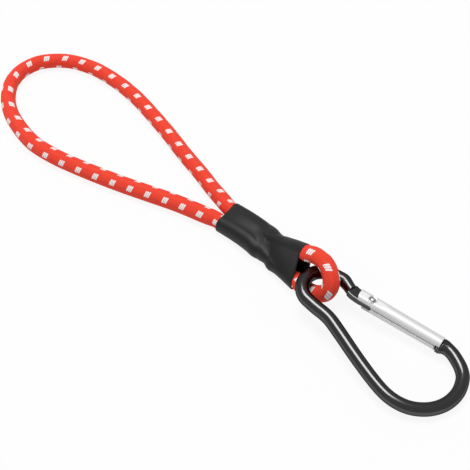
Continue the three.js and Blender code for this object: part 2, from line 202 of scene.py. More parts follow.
def grid_piece(name, grid, finish, ring=True, tunnel=False, caps=True, uv=None, drop=None):
    """A mesh object from a grid of points, rows by columns.

    Each face joins a point, its neighbour in the row and the same two in the next row. With ring the
    last column meets the first, with tunnel the last row meets the first, and caps close the ends.
    Faces are turned round as a whole if the volume that they enclose comes out negative. Where drop is
    true, a face is left out.
    """
    rows, columns, _ = grid.shape
    down = rows if tunnel else rows - 1
    round_it = columns if ring else columns - 1
    row, column = np.meshgrid(np.arange(down), np.arange(round_it), indexing="ij")
    row, column = row.ravel(), column.ravel()
    corners_row = np.stack([row, row, row + 1, row + 1], -1)
    corners_column = np.stack([column, column + 1, column + 1, column], -1)
    if drop is not None:
        corners_row = corners_row[~drop.ravel()]
        corners_column = corners_column[~drop.ravel()]
    faces = (corners_row % rows) * columns + corners_column % columns
    points = grid.reshape(-1, 3)
    a, b, c, d = (points[faces[:, corner]] - points.mean(0) for corner in range(4))
    inside_out = (np.cross(a, b) * c).sum() + (np.cross(a, c) * d).sum() < 0
    if inside_out:
        faces, corners_row, corners_column = faces[:, ::-1], corners_row[:, ::-1], corners_column[:, ::-1]
    ends = []
    if caps and not tunnel:
        first = list(range(columns))
        last = list(range((rows - 1) * columns, rows * columns))
        ends = [first, last[::-1]] if inside_out else [first[::-1], last]
    mesh = bpy.data.meshes.new(name)
    mesh.from_pydata(points.tolist(), [], faces.tolist() + ends)
    mesh.polygons.foreach_set("use_smooth", [True] * len(faces) + [False] * len(ends))
    if uv is not None:
        u, v = (np.concatenate([part, part[:1]], 0) for part in uv)
        u, v = (np.concatenate([part, part[:, :1] + lap], 1) for part, lap in ((u, 1.0), (v, 0.0)))
        corners = np.stack([u[corners_row, corners_column], v[corners_row, corners_column]], -1)
        layer = mesh.uv_layers.new(name="lay")
        spare = np.zeros((sum(map(len, ends)), 2))
        layer.data.foreach_set("uv", np.vstack([corners.reshape(-1, 2), spare]).ravel())
    mesh.update()
    piece = bpy.data.objects.new(name, mesh)
    bpy.context.scene.collection.objects.link(piece)
    mesh.materials.append(finish)
    print(f"{name}: {len(mesh.vertices)} points, {2 * len(faces)} triangles")
    return piece


# %% [markdown]
# ## Finishes as sums
# A procedural finish is arithmetic on coordinates. Wiring Math nodes by hand hides the formula, so a
# small class wraps one socket and lets Python's own operators add the nodes. Every other node comes
# from one method. What is the same all over a surface is set on the shader itself.

# %% Shader helpers
# Share of a full bump that a fine grain gets
SOFT_RIDGE = 0.5
WHITE = (1, 1, 1, 1)


class Field:
    """One value that varies over a surface. Operators on it add Math nodes to its finish."""

    def __init__(self, finish, socket):
        self.finish = finish
        self.socket = socket

    def output(self, name):
        """Another output of the node that this value comes from."""
        return Field(self.finish, self.socket.node.outputs[name])

    def maths(self, operation, *values):
        return self.finish.node("ShaderNodeMath", {"operation": operation}, dict(enumerate(values)))

    def __add__(self, other):
        return self.maths("ADD", self, other)

    __radd__ = __add__

    def __sub__(self, other):
        return self.maths("SUBTRACT", self, other)

    def __rsub__(self, other):
        return self.maths("SUBTRACT", other, self)

    def __mul__(self, other):
        return self.maths("MULTIPLY", self, other)

    __rmul__ = __mul__

    def __pow__(self, other):
        return self.maths("POWER", self, other)

    def __mod__(self, other):
        return self.maths("FLOORED_MODULO", self, other)

    def __lt__(self, other):
        return self.maths("LESS_THAN", self, other)

    def __abs__(self):
        return self.maths("ABSOLUTE", self)

    def __round__(self):
        return self.maths("ROUND", self)


class Finish:
    """A material with one Principled shader, whose even settings are given by socket name."""

    def __init__(self, name, settings):
        self.material = bpy.data.materials.new(name)
        self.material.use_nodes = True
        self.tree = self.material.node_tree
        self.shader = self.tree.nodes["Principled BSDF"]
        for socket, value in settings.items():
            self.shader.inputs[socket].default_value = value

    def node(self, kind, settings, inputs, output=0):
        """A new node: its settings first, a ramp's stops among them, then its socket values or links."""
        node = self.tree.nodes.new(kind)
        for name, value in settings.items():
            if name == "stops":
                self.set_stops(node.color_ramp, value)
            else:
                setattr(node, name, value)
        for name, value in inputs.items():
            if isinstance(value, Field):
                self.tree.links.new(value.socket, node.inputs[name])
            else:
                node.inputs[name].default_value = value
        return Field(self, node.outputs[output])

    @staticmethod
    def set_stops(ramp, stops):
        while len(ramp.elements) < len(stops):
            ramp.elements.new(1.0)
        for element, (place, colour) in zip(ramp.elements, stops):
            element.position = place
            element.color = colour

    def feed(self, socket, value):
        self.tree.links.new(value.socket, self.shader.inputs[socket])

    def place(self):
        """Where a point lies in the tie's own frame, in metres."""
        return self.node("ShaderNodeTexCoord", {}, {}, "Object")

    def lay(self):
        """The piece's own coordinates: round it and along it."""
        return self.node("ShaderNodeUVMap", {"uv_map": "lay"}, {}, "UV")

    def noise(self, where, scale, detail=3.0):
        """Cloudy noise from 0 to 1, with scale clouds to a unit."""
        return self.node("ShaderNodeTexNoise", {}, {"Vector": where, "Scale": scale, "Detail": detail}, 0)

    def stretched(self, where, scale):
        """Coordinates multiplied by a different number along each axis."""
        return self.node("ShaderNodeMapping", {}, {"Vector": where, "Scale": scale})

    def blend(self, factor, first, second):
        """The first colour where factor is 0 and the second where it is 1."""
        return self.node("ShaderNodeMix", {"data_type": "RGBA"}, {0: factor, 6: first, 7: second}, 2)

    def ridge(self, height, distance, strength=1.0):
        """Light bends as if the surface rose by height times distance, in metres."""
        inputs = {"Height": height, "Distance": distance, "Strength": strength}
        self.feed("Normal", self.node("ShaderNodeBump", {}, inputs, "Normal"))

    def between(self, value, low, high):
        """0 where value is at low, 1 where it is at high, and an even climb between them."""
        return self.node("ShaderNodeMapRange", {}, {0: value, 1: low, 2: high})

    def rough(self, value, limits):
        """Roughness from the first limit, where value is 0, to the second, where it is 1."""
        low, high = limits
        self.feed("Roughness", value * (high - low) + low)


# %% [markdown]
# ## The braid
# The cover of shock cord is a tube of fine polyester yarns, braided tight round the rubber. At rest its
# yarns lie almost straight across the cord, so it reads as short crosswise floats, stacked in eight
# columns that lean left and right by turns. In three of the columns every ten floats hold a run
# of three white ones: the flecks. A bump map alone would leave the outline smooth, so the floats are
# raised in the mesh. The finish colours them from the same two coordinates, and paints shade of deeper
# red into the valleys between them.

# %% Braid relief and finish
CORD_DIAMETER = 5.2 * MM
FLOAT_COLUMNS = 8
FLOATS_PER_FLECK = 10
WHITE_FLOATS = 3
# Columns that hold flecks, and how many floats further along their flecks lie
FLECK_SHIFT = {0: 0, 2: -2, 6: 4}
FLOAT_LEAN = 0.85
FLOAT_HEIGHT = 0.10 * MM
COLUMN_DIP = 0.7
ROWS_PER_FLOAT = 5
POINTS_PER_COLUMN = 6
ROUTE_STEP = 0.1 * MM
PATH_STRIDE = 10
CORE_STRANDS = 7
BRAID_RED = (0.95, 0.064, 0.030, 1)
# Deeper red: painted shade in the braid's valleys, and also the random cloudy tint
BRAID_SHADE_AND_TINT_RED = (0.74, 0.040, 0.020, 1)
FLECK_WHITE = (0.95, 0.90, 0.89, 1)
BRAID_SETTINGS = {"Specular IOR Level": 0.3, "Sheen Weight": 0.05, "Sheen Roughness": 0.4}
BRAID_ROUGHNESS = (0.6, 0.9)
# Relief height above which the floats carry no painted shade
FULL_RED_HEIGHT = 0.6
WHITE_HEIGHTS = (0.1, 0.45)
BRAID_CLOUDS = 900
CLOUD_TINT = 0.2
FIBRE_STRETCH = (40, 6, 1)
FIBRE_SCALE = 6
FIBRE_SIZE = 0.05 * MM


def braid_relief(u, v):
    """Height from 0 to 1: each float is round across its width and dips where it goes under another.

    u runs once round the cord and v counts floats along it. Odd columns start half a float later, and
    the columns lean one way and the other by turns.
    """
    column = np.round(u * FLOAT_COLUMNS)
    across = u * FLOAT_COLUMNS - column
    odd = column % 2
    place = v + 0.5 * odd + FLOAT_LEAN * (1 - 2 * odd) * across
    off_crest = place - np.round(place)
    return (1 - (2 * off_crest) ** 2) * (1 - COLUMN_DIP * (2 * across) ** 4)


def braid_finish():
    """Red floats with white flecks, painted shade of deeper red in the valleys, and fibres that break up
    the gloss.

    The height is the relief's own formula, read from the piece's coordinates. A fleck is white where the
    column holds flecks and the float's number lies in a run.
    """
    finish = Finish("braided_cover", BRAID_SETTINGS)
    lay = finish.node("ShaderNodeSeparateXYZ", {}, {"Vector": finish.lay()}, "X")
    round_cord = lay * FLOAT_COLUMNS
    column = round(round_cord) % FLOAT_COLUMNS
    across = round_cord - round(round_cord)
    odd = column % 2
    place = lay.output("Y") + odd * 0.5 + (1 - odd * 2) * across * FLOAT_LEAN
    number = round(place)
    height = (1 - (abs(place - number) * 2) ** 2) * (1 - (abs(across) * 2) ** 4 * COLUMN_DIP)
    fleck = 0
    for fleck_column, shift in FLECK_SHIFT.items():
        in_column = abs(column - fleck_column) < 0.5
        in_run = (number + (WHITE_FLOATS // 2 - shift)) % FLOATS_PER_FLECK < WHITE_FLOATS - 0.5
        fleck = in_column * in_run + fleck
    clouds = finish.noise(finish.place(), BRAID_CLOUDS)
    fibres = finish.noise(finish.stretched(finish.lay(), FIBRE_STRETCH), FIBRE_SCALE)
    # Painted shade: the valleys between floats go to deeper red, and full red starts at FULL_RED_HEIGHT
    stops = [(0.0, BRAID_SHADE_AND_TINT_RED), (FULL_RED_HEIGHT, BRAID_RED)]
    shade = finish.node("ShaderNodeValToRGB", {"stops": stops}, {0: height})
    tint = finish.blend(clouds * CLOUD_TINT, shade, BRAID_SHADE_AND_TINT_RED)
    # The white fades out low on each float, into the painted valley shade
    white = fleck * finish.between(height, *WHITE_HEIGHTS)
    finish.feed("Base Color", finish.blend(white, tint, FLECK_WHITE))
    finish.rough(fibres, BRAID_ROUGHNESS)
    finish.ridge(fibres + clouds, FIBRE_SIZE)
    return finish.material


def braided_cord(name, route, upward, radius, spacing, turn, first_fleck):
    """A braided tube along a route, with the points of its middle line.

    radius, fleck spacing and the turn of the first column are functions of the share of the length.
    Rows are placed by counting floats: the count grows by the distance over the local float length.
    """
    line, along = spline(route, ROUTE_STEP)
    share = along / along[-1]
    per_step = FLOATS_PER_FLECK / spacing(share)
    count = np.concatenate([[0], np.cumsum(np.diff(along) * (per_step[1:] + per_step[:-1]) / 2)])
    v = np.linspace(0, count[-1], int(count[-1] * ROWS_PER_FLOAT))[:, None]
    centre = columns_at(v[:, 0], count, line)
    side, up = axes_along(centre, upward)
    share = np.interp(v, count, share)
    u = np.arange(FLOAT_COLUMNS * POINTS_PER_COLUMN)[None] / (FLOAT_COLUMNS * POINTS_PER_COLUMN)
    v_braid = v - np.interp(first_fleck, along, count) + 0 * u
    angle = 2 * np.pi * u + turn(share)
    reach = (radius(share) + FLOAT_HEIGHT * (braid_relief(u, v_braid) - 1))[..., None]
    out = np.cos(angle)[..., None] * side[:, None] + np.sin(angle)[..., None] * up[:, None]
    piece = grid_piece(name, centre[:, None] + reach * out, BRAID, uv=(u + 0 * v, v_braid))
    print(f"{name}: {along[-1] / MM:.1f} mm long, {count[-1]:.0f} floats")
    return piece, line, along[-1]


def steady(value):
    """A measure that is the same all along a cord."""
    return lambda share: value + 0 * share


BRAID = braid_finish()

# %% [markdown]
# ## Where the cord runs in the sleeve
# Inside the sleeve two legs of cord lie side by side, flat at the loop's end. They close up at a waist
# and turn by sixty-three degrees on the way to the mouth, where the eye comes out standing up. The
# sections below follow the sleeve's solid and are drawn closer to the outline in the photograph. The
# cord's ends, the pressed legs, the crimp and the sleeve itself all read them, so they stay together.

# %% Sections of the sleeve
sleeve_low, sleeve_high = (np.array(corner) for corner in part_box("heat_shrink_sleeve"))
LOOP_EDGE_REACH = 0.4 * MM
SLEEVE_START = sleeve_low[0] - LOOP_EDGE_REACH
SLEEVE_LENGTH = sleeve_high[0] - SLEEVE_START
SLEEVE_WALL = 0.5 * MM
SECTION_SHARES = [0.0, 0.17, 0.34, 0.42, 0.53, 0.64, 0.74, 0.85, 1.0]
ACROSS = np.array([0.0, 0.25, 0.3, 0.2, -0.25, -0.75, -1.25, -1.75, -2.4]) * MM
SPREAD = np.array([6.2, 5.8, 5.6, 5.6, 5.2, 4.4, 5.5, 7.3, 9.6]) * MM
RADIUS = np.array([2.85, 3.05, 3.13, 3.13, 3.03, 2.9, 2.95, 2.85, 2.75]) * MM
TWIST = np.radians([0, 0, 0, 0, 15.4, 35, 48, 57, 63])
SQUARENESS = np.array([2.2, 2.2, 2.2, 2.2, 2.2, 2.1, 2.0, 2.0, 2.0])


def leg_direction(angle):
    """Unit vector across the sleeve, turned up from level by an angle."""
    return np.stack([0 * angle, np.cos(angle), np.sin(angle)], -1)


def sleeve_section(share):
    """At a share of the sleeve: its middle, half the spread of its legs, their turn and its radius."""
    twist = eased(share, SECTION_SHARES, TWIST)
    spread = eased(share, SECTION_SHARES, SPREAD) / 2
    radius = eased(share, SECTION_SHARES, RADIUS)
    height = radius + spread * np.sin(twist)
    across = eased(share, SECTION_SHARES, ACROSS)
    return np.stack([SLEEVE_START + share * SLEEVE_LENGTH, across, height], -1), spread, twist, radius


def leg_line(shares, side):
    """Points on the middle line of one leg: the section's middle plus half the spread along the legs."""
    middle, spread, twist, _ = sleeve_section(np.asarray(shares, float))
    return middle + side * spread[:, None] * leg_direction(twist)


print(f"sleeve: {SLEEVE_LENGTH / MM:.1f} mm long, mouth at {sleeve_section(np.array([1.0]))[0][0] / MM}")

# %% [markdown]
# ## The big loop
# The loop is one length of cord that leaves the sleeve, lies on the table in a long drop and comes
# back. A simulated rope could find such a shape, but the photograph shows this one, so its route is a
# list of points seen there. The loop stretches when it is pulled.

# %% Loop of cord
LOOP_ROUTE = np.array([
    (1.0, 4.5, 0.2), (-4.4, 5.9, 0.06), (-12.0, 8.2, 0), (-22.8, 11.0, 0), (-34.0, 14.3, 0),
    (-45.7, 17.3, 0), (-57.5, 19.8, 0), (-69.6, 20.8, 0), (-81.1, 19.9, 0), (-90.9, 16.0, 0),
    (-97.1, 9.1, 0), (-98.3, 3.7, 0), (-97.4, -1.9, 0), (-94.0, -7.6, 0), (-88.7, -12.5, 0),
    (-82.8, -16.0, 0.05), (-76.0, -18.5, 0.1), (-64.1, -20.8, 0.1), (-53.4, -20.0, 0.1),
    (-43.7, -17.9, 0.1), (-34.5, -15.4, 0.1), (-25.7, -12.7, 0.1), (-17.2, -9.8, 0.1),
    (-9.0, -7.0, 0.1), (-3.5, -5.5, 0.15), (1.3, -4.4, 0.25),
]) * MM + (0, 0, CORD_DIAMETER / 2)
LOOP_LEAD = 1.2 * MM
LOOP_TUCK = 0.08
LOOP_TAPER = 0.03
TUCKED_RADIUS = 2.4 * MM
FAR_RADIUS = 2.62 * MM
NEAR_SWELL = 0.14 * MM
SWELL_SHARES = (0.55, 0.7)
FIRST_FLECK = 5.0 * MM
FLECK_SHARES = [0, 0.03, 0.06, 0.1, 0.16, 0.25, 0.35, 0.45, 0.52, 0.57, 0.63, 0.7, 0.8, 0.9, 0.96, 1]
FLECK_SPACING = np.array([
    5, 5.5, 6.15, 6.85, 7.3, 7.5, 7.5, 7.25, 8.3, 9.15, 8, 7.1, 6.6, 6.35, 6.5, 6.1,
]) * MM
FLECK_TURN = np.radians([124, 108, 91, 80.5, 80, 77.5, 67, 60.5, 61, 63.5, 70, 66, 57, 51, 51, 64])


def loop_radius(share):
    """Drawn in at the sleeve, even on the far leg, and a little thicker on the leg that lies nearer."""
    free = FAR_RADIUS + NEAR_SWELL * smoothstep(*SWELL_SHARES, share)
    out_of_sleeve = smoothstep(0, LOOP_TAPER, np.minimum(share, 1 - share))
    return TUCKED_RADIUS + (free - TUCKED_RADIUS) * out_of_sleeve


def loop_spacing(share):
    """Flecks crowd near the sleeve and open out round the far end, most just past its middle."""
    return eased(share, FLECK_SHARES, FLECK_SPACING)


def loop_turn(share):
    """The columns wind round the cord quickly at the sleeve, and wander a little on the way round."""
    return eased(share, FLECK_SHARES, FLECK_TURN)


rear_end = leg_line([LOOP_TUCK, 0.0], 1)
front_end = leg_line([0.0, LOOP_TUCK], -1)
lead = np.array([-LOOP_LEAD, 0, 0])
far_point = LOOP_ROUTE[LOOP_ROUTE[:, 0].argmin()]
loop_route = np.vstack([rear_end, rear_end[-1] + lead, LOOP_ROUTE, front_end[0] + lead, front_end])
loop, loop_line, loop_length = braided_cord(
    "cord_loop", loop_route, (0, 0, 1), loop_radius, loop_spacing, loop_turn, FIRST_FLECK
)
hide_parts("loop_cover", *(f"loop_strand_{strand + 1}" for strand in range(CORE_STRANDS)))
tuple(far_point * (1, 0, 0))
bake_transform(loop)
tuple(rear_end[-1])
loop_line[::PATH_STRIDE]

# %% [markdown]
# ## The eye
# The same cord comes out of the mouth, goes round the hook's small bow and back in below. It is bent
# hard and pulled a little, so it is thinner than the loop. Its route is chosen in its own leaning
# plane: how far it reaches out of the mouth, and how high it stands.

# %% Eye of cord
EYE_ROUTE = np.array([
    (0.3, 4.9), (1.6, 5.2), (3.2, 5.8), (5.0, 6.15), (7.0, 6.1), (9.1, 5.5), (11.0, 4.2), (12.5, 2.4),
    (13.0, 0.3), (12.3, -1.8), (10.5, -3.3), (8.7, -4.25), (6.9, -4.75), (5.0, -4.9), (3.2, -4.75),
    (1.6, -4.4), (0.3, -4.35),
]) * MM
EYE_DRIFT = -6.6
EYE_RISE = 6.0
EYE_TUCK = [0.86, 0.93]
EYE_RADIUS = 2.55 * MM
EYE_TUCKED_RADIUS = 2.15 * MM
EYE_TAPER = (0.06, 0.16)
EYE_FLECK_SPACING = 6.7 * MM
EYE_FIRST_FLECK = 8.7 * MM
EYE_FLECK_TURN = np.radians(50)
EYE_FACING = (0, -0.94, 0.34)


def eye_radius(share):
    """Full in the open and squeezed where the sleeve grips it."""
    free = smoothstep(*EYE_TAPER, np.minimum(share, 1 - share))
    return EYE_TUCKED_RADIUS + (EYE_RADIUS - EYE_TUCKED_RADIUS) * free


mouth = sleeve_section(np.array([1.0]))[0][0]
reach, height = EYE_ROUTE.T
eye_bend = np.stack([reach, EYE_DRIFT * reach ** 2, EYE_RISE * reach ** 2], -1)
eye_points = mouth + eye_bend + height[:, None] * leg_direction(TWIST[-1:])
eye_route = np.vstack([leg_line(EYE_TUCK, 1), eye_points, leg_line(EYE_TUCK[::-1], -1)])
eye, eye_line, eye_length = braided_cord(
    "cord_eye", eye_route, EYE_FACING, eye_radius,
    steady(EYE_FLECK_SPACING), steady(EYE_FLECK_TURN), EYE_FIRST_FLECK,
)
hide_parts("eye_cover", *(f"eye_strand_{strand + 1}" for strand in range(CORE_STRANDS)))
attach(eye, "sleeve")
tuple(eye_line[0])
2 * EYE_RADIUS
eye_line[::PATH_STRIDE]

# %% [markdown]
# ## Legs pressed in the sleeve
# Out of sight, one leg runs right through the sleeve, and the two tails end inside it. A crimp band
# presses them thinner. They are the same braid on the legs' own middle lines.

# %% Pressed legs
PRESSED_RADIUS = 1.85 * MM
PRESSED_SPACING = 6.0 * MM
LEGS = {
    # side of the sleeve, shares of its length where the leg starts and stops, and count of points
    "rear_leg": (1, 0.08, 0.84, 9),
    "front_tail": (-1, 0.08, 0.44, 7),
    "eye_tail": (-1, 0.71, 0.84, 5),
}
for leg_name, (leg_side, *leg_shares) in LEGS.items():
    leg_route = leg_line(np.linspace(*leg_shares), leg_side)
    leg, _, _ = braided_cord(
        f"cord_{leg_name}", leg_route, (0, 0, 1), steady(PRESSED_RADIUS), steady(PRESSED_SPACING),
        steady(0.0), 0.0,
    )
    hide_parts(f"{leg_name}_cover", f"{leg_name}_core")
    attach(leg, "sleeve")

# %% [markdown]
# ## The heat-shrink sleeve
# The sleeve is a plastic tube that was shrunk with hot air, so it hugs what is inside: flat and straight
# over the crimp, creased where it twists at the waist, and stretched at the mouth. Its outline is two
# half circles joined by straight runs. One closed skin goes along the outside, round the cut edge,
# back along the inside and round the other edge, so the wall has its true thickness.

# %% Sleeve surface
ROWS_OUTSIDE = 180
ROWS_INSIDE = 40
POINTS_PER_QUARTER = 36
RIM_STEPS = 5
TURN_LENGTH = 7.0
LOOP_EDGE_SLANT = 1.1 * MM
SLANT_END = 0.35
MOUTH_START = 0.7
MOUTH_BOTTOM_REACH = 1.4 * MM
MOUTH_FRONT_DIP = 0.3 * MM
MOUTH_BACK_REACH = 1.2 * MM
MOUTH_BACK_SWELL = 1.2 * MM
BACK_SWELL_START = 0.75
DIP_SHARES = [0, 0.12, 0.42, 0.64, 0.85, 1.0]
DIPS = np.array([0.3, -0.05, -0.15, 0.2, 0.5, 0.6]) * MM
LEANS = np.array([0.0, 0.25, 0.5, 0.1, 0.0, 0.0]) * MM
CREASES = [
    # share of the length and place round the section of both ends, then width and height in millimetres
    (0.52, 1.32, 0.66, 0.75, 0.5, 0.30),
    (0.64, 1.20, 0.70, 0.75, 0.5, 0.26),
    (0.57, 1.45, 0.68, 0.85, 0.5, -0.30),
    (0.52, 2.05, 0.56, 2.35, 1.6, -0.25),
    (0.67, 1.45, 0.69, 2.05, 1.4, -0.25),
    (0.63, 2.10, 0.60, 2.55, 1.0, 0.22),
    (0.50, 2.55, 0.52, 2.80, 1.8, 0.22),
    (0.72, 2.25, 0.73, 2.65, 1.6, 0.55),
    (0.58, 3.20, 0.68, 3.80, 0.9, -0.35),
    (0.54, 3.50, 0.64, 4.00, 0.8, 0.30),
    (0.70, 3.10, 0.76, 3.60, 0.9, 0.25),
]


def crease_height(share, turn):
    """Sum of soft folds, each a bell of the distance to a short straight line on the unrolled sleeve."""
    height = 0 * share * turn
    sheet_length = SLEEVE_LENGTH / MM
    for from_share, from_turn, to_share, to_turn, width, rise in CREASES:
        run = (to_share - from_share) * sheet_length
        climb = (to_turn - from_turn) * TURN_LENGTH
        along = (share - from_share) * sheet_length
        round_it = ((turn - from_turn + 2) % 4 - 2) * TURN_LENGTH
        part = np.clip((along * run + round_it * climb) / (run**2 + climb**2), 0, 1)
        distance = np.hypot(along - part * run, round_it - part * climb)
        height = height + rise * MM * np.exp(-((distance / width) ** 2))
    return height


def sleeve_shift(share, side, between, at_back):
    """How far a point is moved along the sleeve, because neither end is cut square.

    The loop's end slants towards the front leg. The mouth reaches further at the lower leg and behind,
    and dips a little in front between the legs.
    """
    lower = (1 - side) / 2
    loop_end = LOOP_EDGE_SLANT * lower * (1 - smoothstep(0, SLANT_END, share))
    run = between * np.where(at_back, MOUTH_BACK_REACH, -MOUTH_FRONT_DIP)
    return loop_end + smoothstep(MOUTH_START, 1, share) * (MOUTH_BOTTOM_REACH * lower + run)


def sleeve_point(share, inset, turn):
    """A point of the sleeve's wall at a share of its length, a depth into its wall and a place round it.

    turn runs from 0 to 4: half circle, straight run, half circle, straight run. The normal turns only
    on the half circles, and the side slides from one leg to the other only on the straight runs. A power
    above 2 swells the half circles towards rounded corners, the runs dip between the legs, and the
    upper run leans towards the front. The table stops whatever would sag below it.
    """
    inside = np.clip(share, 0, 1)
    middle, spread, twist, radius = sleeve_section(inside)
    power = eased(inside, SECTION_SHARES, SQUARENESS)
    quarter = np.floor(turn)
    part = turn - quarter
    straight = quarter % 2
    at_back = quarter == 3
    side = np.where(quarter < 2, 1.0, -1.0) * np.where(straight == 1, 1 - 2 * part, 1.0)
    between = straight * (1 - side**2)
    facing = np.pi * (quarter // 2 + np.where(straight == 1, 0.5, part - 0.5))
    swell = (np.abs(np.cos(facing)) ** power + np.abs(np.sin(facing)) ** power) ** (-1 / power)
    back_swell = np.where(at_back, MOUTH_BACK_SWELL, 0) * smoothstep(BACK_SWELL_START, 1, inside)
    dip = eased(inside, DIP_SHARES, DIPS) - back_swell
    lean = eased(inside, DIP_SHARES, LEANS) * side * np.where(quarter == 1, between, 0)
    out = radius * swell - inset - dip * between + lean + crease_height(inside, turn)
    legs = leg_direction(twist + 0 * turn)
    normal = leg_direction(twist + facing)
    point = middle + side[..., None] * spread[..., None] * legs + out[..., None] * normal
    point[..., 0] += (share - inside) * SLEEVE_LENGTH + sleeve_shift(inside, side, between, at_back)
    point[..., 2] = np.maximum(point[..., 2], inset)
    return point


def tube_wall(start, stop, depth, wall, rows_outside, rows_inside):
    """Points of a closed skin round a wall that lies at a depth under the sleeve, between two shares.

    They run out along the outer face, round the rim as a half circle, back along the inner face and
    round the other rim.
    """
    rim = np.linspace(0, np.pi, RIM_STEPS)[1:-1]
    rim_reach = np.sin(rim) * wall / 2 / SLEEVE_LENGTH
    rim_inset = (1 - np.cos(rim)) * wall / 2
    there, back = np.linspace(start, stop, rows_outside), np.linspace(stop, start, rows_inside)
    share = np.concatenate([there, stop + rim_reach, back, start - rim_reach])
    inset = np.concatenate([0 * there, rim_inset, 0 * back + wall, rim_inset[::-1]])
    turn = np.arange(4 * POINTS_PER_QUARTER) / POINTS_PER_QUARTER
    return sleeve_point(share[:, None], depth + inset[:, None], turn[None])


SHRINK_DARK = (0.006, 0.006, 0.0065, 1)
SHRINK_PALE = (0.010, 0.010, 0.0105, 1)
SHRINK_IOR = 1.42
SHRINK_ROUGHNESS = (0.46, 0.58)
SHRINK_CLOUDS = 160
SHRINK_GRAIN = 2600
SHRINK_GRAIN_DEPTH = 0.015 * MM


def shrink_finish():
    """Black polyolefin: satin, with a fine dull grain and faint cloudy sheen."""
    finish = Finish("shrink_sleeve", {"IOR": SHRINK_IOR})
    where = finish.place()
    clouds = finish.noise(where, SHRINK_CLOUDS)
    grain = finish.noise(where, SHRINK_GRAIN)
    finish.feed("Base Color", finish.blend(clouds, SHRINK_DARK, SHRINK_PALE))
    finish.rough(clouds, SHRINK_ROUGHNESS)
    finish.ridge(grain, SHRINK_GRAIN_DEPTH, SOFT_RIDGE)
    return finish.material


sleeve_grid = tube_wall(0.0, 1.0, 0.0, SLEEVE_WALL, ROWS_OUTSIDE, ROWS_INSIDE)
sleeve = grid_piece("shrink_sleeve", sleeve_grid, shrink_finish(), tunnel=True)
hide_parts("heat_shrink_sleeve")
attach(sleeve, "sleeve")

# %% [markdown]
# ## The hook's own plane
# The carabiner is flat, so everything on it is laid out in one plane. The frame gives that plane: the
# swing joint's point is the centre of the small bow and its axis is square to the hook. The gate's
# hinge and the plunger's slide give the gate's place and direction in it.

# %% Hook plane
hook_normal = unit(np.array(joints["carabiner_swing"]["axis"], float))
hook_across = np.array([0.0, 1.0, 0.0])
hook_along = np.cross(hook_across, hook_normal)
bow_centre = np.array(joints["carabiner_swing"]["pos_m"])
hinge = np.array(joints["gate_hinge"]["pos_m"])
gate_along = unit(np.array(joints["plunger_slide"]["axis"], float))
gate_across = np.cross(hook_normal, gate_along)


def on_hook(along, across):
    """A point in the hook's plane, counted from the centre of the small bow."""
    return bow_centre + np.multiply.outer(along, hook_along) + np.multiply.outer(across, hook_across)


def on_gate(along, across=0.0):
    """A point in the hook's plane, counted from the hinge along the gate and out of the hook."""
    return hinge + np.multiply.outer(along, gate_along) + np.multiply.outer(across, gate_across)


print(f"hook plane: bow at {bow_centre / MM}, hinge at {hinge / MM}")

# %% [markdown]
# ## The carabiner's rod
# The body is one bent rod, round nearly all the way. Its nose is pressed to a plate that the closed gate
# swallows, and its other end is milled to a flat tongue that the gate's fork holds. A profile is
# carried along the rod's middle line. The profile is a rounded rectangle that can be a circle: one power
# squares it up, and its half sizes change along the rod.

# %% Rod
ROD_RADIUS = 2.1 * MM
ROD_FAR_RADIUS = 1.93 * MM
ROD_DRAWN = 35.4 * MM
BOW_FRONT = 6.4 * MM
BOW_BACK = 5.9 * MM
BOW_REACH = 5.95 * MM
BOW_ANGLES = np.radians(np.linspace(-90, -252, 22))
BIG_END = np.array([
    (39.1, 10.0), (41.3, 9.2), (43.6, 8.0), (45.6, 6.25), (46.9, 3.9), (47.7, 1.3), (47.9, -1.3),
    (47.6, -3.9), (46.8, -6.3), (45.55, -8.5), (43.9, -10.4), (41.95, -11.95), (39.7, -13.05),
    (37.25, -13.65), (34.8, -13.8), (32.1, -13.5), (27.6, -12.5), (20.25, -10.4), (13.05, -8.1),
    (8.3, -6.75), (5.8, -6.5), (3.0, -6.55),
]) * MM
JOGGLE = np.array([(0.4, 6.25), (2.2, 6.6), (4.0, 6.2), (5.6, 5.7), (7.4, 5.4)]) * MM
JOGGLE_THINNING = 0.3 * MM
JOGGLE_SPAN = (9.5 * MM, 13 * MM)
TONGUE_STEP = 6.1 * MM
TONGUE_HALF = 1.1 * MM
TONGUE_WIDTH = 1.95 * MM
HINGE_WIDTH = 1.6 * MM
HINGE_SPAN = (2.5 * MM, 5.0 * MM)
HINGE_LEAD = -0.2 * MM
TONGUE_END = 1.5 * MM
TONGUE_END_SLIVER = 0.0002
NOSE_HALF = 0.95 * MM
NOSE_TIP = 21.6 * MM
NOSE_LIP = 21.9 * MM
NOSE_SHOULDER = 22.9 * MM
NOSE_NECK = 23.9 * MM
NOSE_OUTER = 1.85 * MM
NOSE_INNER = -1.7 * MM
NOSE_LIP_INNER = -2.75 * MM
NOSE_FLARE = (0.3 * MM, 0.8 * MM)
NOSE_FLARE_LENGTH = 2.6 * MM
TIP_ROUNDING = 0.25 * MM
TIP_WIDTH = 0.9
TIP_THICKNESS = 0.8
PRESSED_STEP = 0.1 * MM
MILLED_STEP = 0.12 * MM
CIRCLE_POWER = 2
PLATE_POWER = 8
ROD_STEP = 0.05 * MM
ROD_POINTS = 40
ROD_ROWS = 520
NOSE_ROWS = 70
TONGUE_ROWS = 130
TONGUE_STRIDE = 2
ROD_DARK = (0.076, 0.076, 0.077, 1)
ROD_PALE = (0.095, 0.095, 0.096, 1)
ROD_SETTINGS = {"Metallic": 1.0, "Specular Tint": (0.3, 0.3, 0.3, 1)}
ROD_ROUGHNESS = (0.15, 0.23)
ROD_CLOUDS = 120
ROD_RIPPLE = 400
ROD_RIPPLE_DEPTH = 0.0005 * MM


